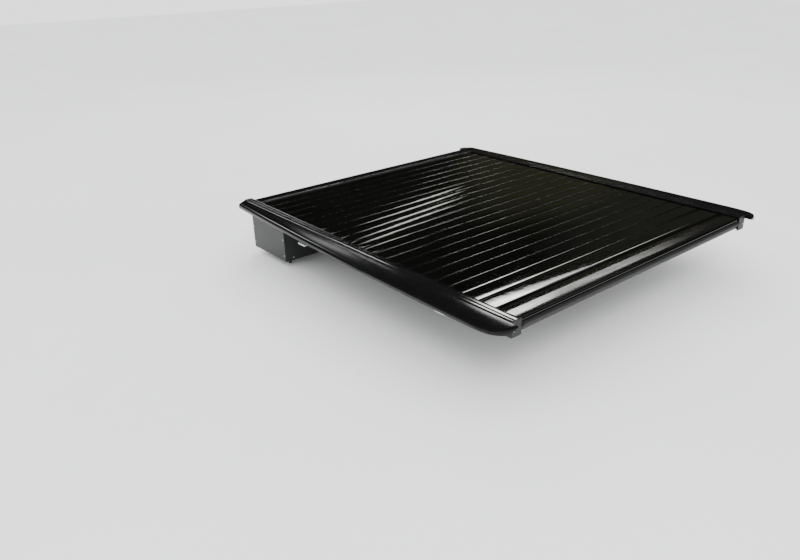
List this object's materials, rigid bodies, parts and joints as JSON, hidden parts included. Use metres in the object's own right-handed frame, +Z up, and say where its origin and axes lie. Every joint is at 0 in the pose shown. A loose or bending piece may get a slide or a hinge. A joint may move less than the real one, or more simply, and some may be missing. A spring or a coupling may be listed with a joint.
{
  "type": "roll-up tonneau cover",
  "caption": "Retractable ribbed cover for a pickup bed: the sheet slides in two side rails into a roll canister at the cab end, with a latched end bar, bed clamps and wide side trims.",
  "frame": {"origin": "midway between the rails, at the end bar's rear edge and the height of the rib crowns", "axes": "+X right, +Y towards the cab, +Z up; mirror-symmetric left to right except for the lock"},
  "size_m": [1.702, 1.812, 0.2764],
  "materials": {
    "gloss_black_polymer": "high gloss, moulded in colour",
    "gloss_black_coat": "high gloss black over an aluminium extrusion",
    "black_powder_coat": "satin black powder coat on aluminium",
    "satin_black_plastic": "satin, fine grain",
    "black_rubber": "matt",
    "zinc_steel": "zinc plated",
    "mill_aluminium": "bare, cast and machined"
  },
  "bodies": {
    "frame": {"bulkhead_seal": "black_rubber", "canister_floor": "black_powder_coat", "canister_front_panel": "black_powder_coat", "canister_header": "black_powder_coat", "canister_rear_panel": "black_powder_coat", "header_wiper": "black_rubber", "left_canister_end": "black_powder_coat", "left_clamp_1_bracket": "mill_aluminium", "left_clamp_2_bracket": "mill_aluminium", "left_drain_spout": "satin_black_plastic", "left_front_corner": "satin_black_plastic", "left_rail": "black_powder_coat", "left_rail_rear_cap": "satin_black_plastic", "left_side_trim": "satin_black_plastic", "left_spiral_track": "satin_black_plastic", "left_striker": "zinc_steel", "mouth_roller_shaft": "zinc_steel", "mouth_wiper": "black_rubber", "right_canister_end": "black_powder_coat", "right_clamp_1_bracket": "mill_aluminium", "right_clamp_2_bracket": "mill_aluminium", "right_drain_spout": "satin_black_plastic", "right_front_corner": "satin_black_plastic", "right_rail": "black_powder_coat", "right_rail_rear_cap": "satin_black_plastic", "right_side_trim": "satin_black_plastic", "right_spiral_track": "satin_black_plastic", "right_striker": "zinc_steel"},
    "cover": {"cover_sheet": "gloss_black_polymer", "end_bar": "gloss_black_coat", "end_slat": "gloss_black_coat", "handle_pin": "zinc_steel", "latch_housing": "satin_black_plastic", "left_guide_shoe": "satin_black_plastic", "lock_body": "zinc_steel", "right_guide_shoe": "satin_black_plastic", "tailgate_seal": "black_rubber"},
    "handle_body": {"handle": "satin_black_plastic"},
    "latch_rotor_body": {"latch_rotor": "zinc_steel"},
    "left_clamp_1_jaw_body": {"left_clamp_1_jaw": "zinc_steel"},
    "left_clamp_1_screw_body": {"left_clamp_1_screw": "zinc_steel"},
    "left_clamp_2_jaw_body": {"left_clamp_2_jaw": "zinc_steel"},
    "left_clamp_2_screw_body": {"left_clamp_2_screw": "zinc_steel"},
    "left_latch_rod_body": {"left_latch_rod": "zinc_steel"},
    "lock_plug_body": {"lock_plug": "zinc_steel"},
    "mouth_roller_body": {"mouth_roller": "satin_black_plastic"},
    "right_clamp_1_jaw_body": {"right_clamp_1_jaw": "zinc_steel"},
    "right_clamp_1_screw_body": {"right_clamp_1_screw": "zinc_steel"},
    "right_clamp_2_jaw_body": {"right_clamp_2_jaw": "zinc_steel"},
    "right_clamp_2_screw_body": {"right_clamp_2_screw": "zinc_steel"},
    "right_latch_rod_body": {"right_latch_rod": "zinc_steel"}
  },
  "joints": [
    {"name": "cover_slide", "type": "slide", "parent": "frame", "child": "cover", "axis": [0, 1, 0], "range_m": [0, 1.335], "deforming": ["cover_sheet"]},
    {"name": "handle_pull", "type": "hinge", "parent": "cover", "child": "handle_body", "pos_m": [0, 0.066, -0.047], "axis": [1, 0, 0], "range_deg": [0, 40], "stiffness_Nm_per_rad": 0.6, "springref_deg": -20.05},
    {"name": "rotor_turn", "type": "hinge", "parent": "cover", "child": "latch_rotor_body", "pos_m": [0, 0.046, -0.0385], "axis": [0, 0, 1], "range_deg": [0, 60]},
    {"name": "left_rod_draw", "type": "slide", "parent": "cover", "child": "left_latch_rod_body", "axis": [1, 0, 0], "range_m": [0, 0.021]},
    {"name": "right_rod_draw", "type": "slide", "parent": "cover", "child": "right_latch_rod_body", "axis": [-1, 0, 0], "range_m": [0, 0.021]},
    {"name": "lock_turn", "type": "hinge", "parent": "cover", "child": "lock_plug_body", "pos_m": [0.088, 0.046, -0.055], "axis": [0, 0, 1], "range_deg": [0, 90]},
    {"name": "roller_spin", "type": "hinge", "parent": "frame", "child": "mouth_roller_body", "pos_m": [0, 1.47, -0.0253], "axis": [-1, 0, 0], "range_deg": [-10, 4900]},
    {"name": "left_clamp_1_travel", "type": "slide", "parent": "frame", "child": "left_clamp_1_jaw_body", "axis": [0, 0, 1], "range_m": [-0.0085, 0.0125]},
    {"name": "left_clamp_1_turn", "type": "hinge", "parent": "frame", "child": "left_clamp_1_screw_body", "pos_m": [-0.775, 0.3, -0.065], "axis": [0, 0, 1], "range_deg": [-2500, 3650]},
    {"name": "left_clamp_2_travel", "type": "slide", "parent": "frame", "child": "left_clamp_2_jaw_body", "axis": [0, 0, 1], "range_m": [-0.0085, 0.0125]},
    {"name": "left_clamp_2_turn", "type": "hinge", "parent": "frame", "child": "left_clamp_2_screw_body", "pos_m": [-0.775, 1.2, -0.065], "axis": [0, 0, 1], "range_deg": [-2500, 3650]},
    {"name": "right_clamp_1_travel", "type": "slide", "parent": "frame", "child": "right_clamp_1_jaw_body", "axis": [0, 0, 1], "range_m": [-0.0085, 0.0125]},
    {"name": "right_clamp_1_turn", "type": "hinge", "parent": "frame", "child": "right_clamp_1_screw_body", "pos_m": [0.775, 0.3, -0.065], "axis": [0, 0, 1], "range_deg": [-2500, 3650]},
    {"name": "right_clamp_2_travel", "type": "slide", "parent": "frame", "child": "right_clamp_2_jaw_body", "axis": [0, 0, 1], "range_m": [-0.0085, 0.0125]},
    {"name": "right_clamp_2_turn", "type": "hinge", "parent": "frame", "child": "right_clamp_2_screw_body", "pos_m": [0.775, 1.2, -0.065], "axis": [0, 0, 1], "range_deg": [-2500, 3650]}
  ],
  "couplings": [
    {"joint": "rotor_turn", "follows": "handle_pull", "ratio": 1.5},
    {"joint": "left_rod_draw", "follows": "handle_pull", "m_per_rad": 0.03},
    {"joint": "right_rod_draw", "follows": "handle_pull", "m_per_rad": 0.03},
    {"joint": "roller_spin", "follows": "cover_slide", "rad_per_m": 62.5},
    {"joint": "left_clamp_1_turn", "follows": "left_clamp_1_travel", "rad_per_m": 5026.5},
    {"joint": "left_clamp_2_turn", "follows": "left_clamp_2_travel", "rad_per_m": 5026.5},
    {"joint": "right_clamp_1_turn", "follows": "right_clamp_1_travel", "rad_per_m": 5026.5},
    {"joint": "right_clamp_2_turn", "follows": "right_clamp_2_travel", "rad_per_m": 5026.5}
  ]
}
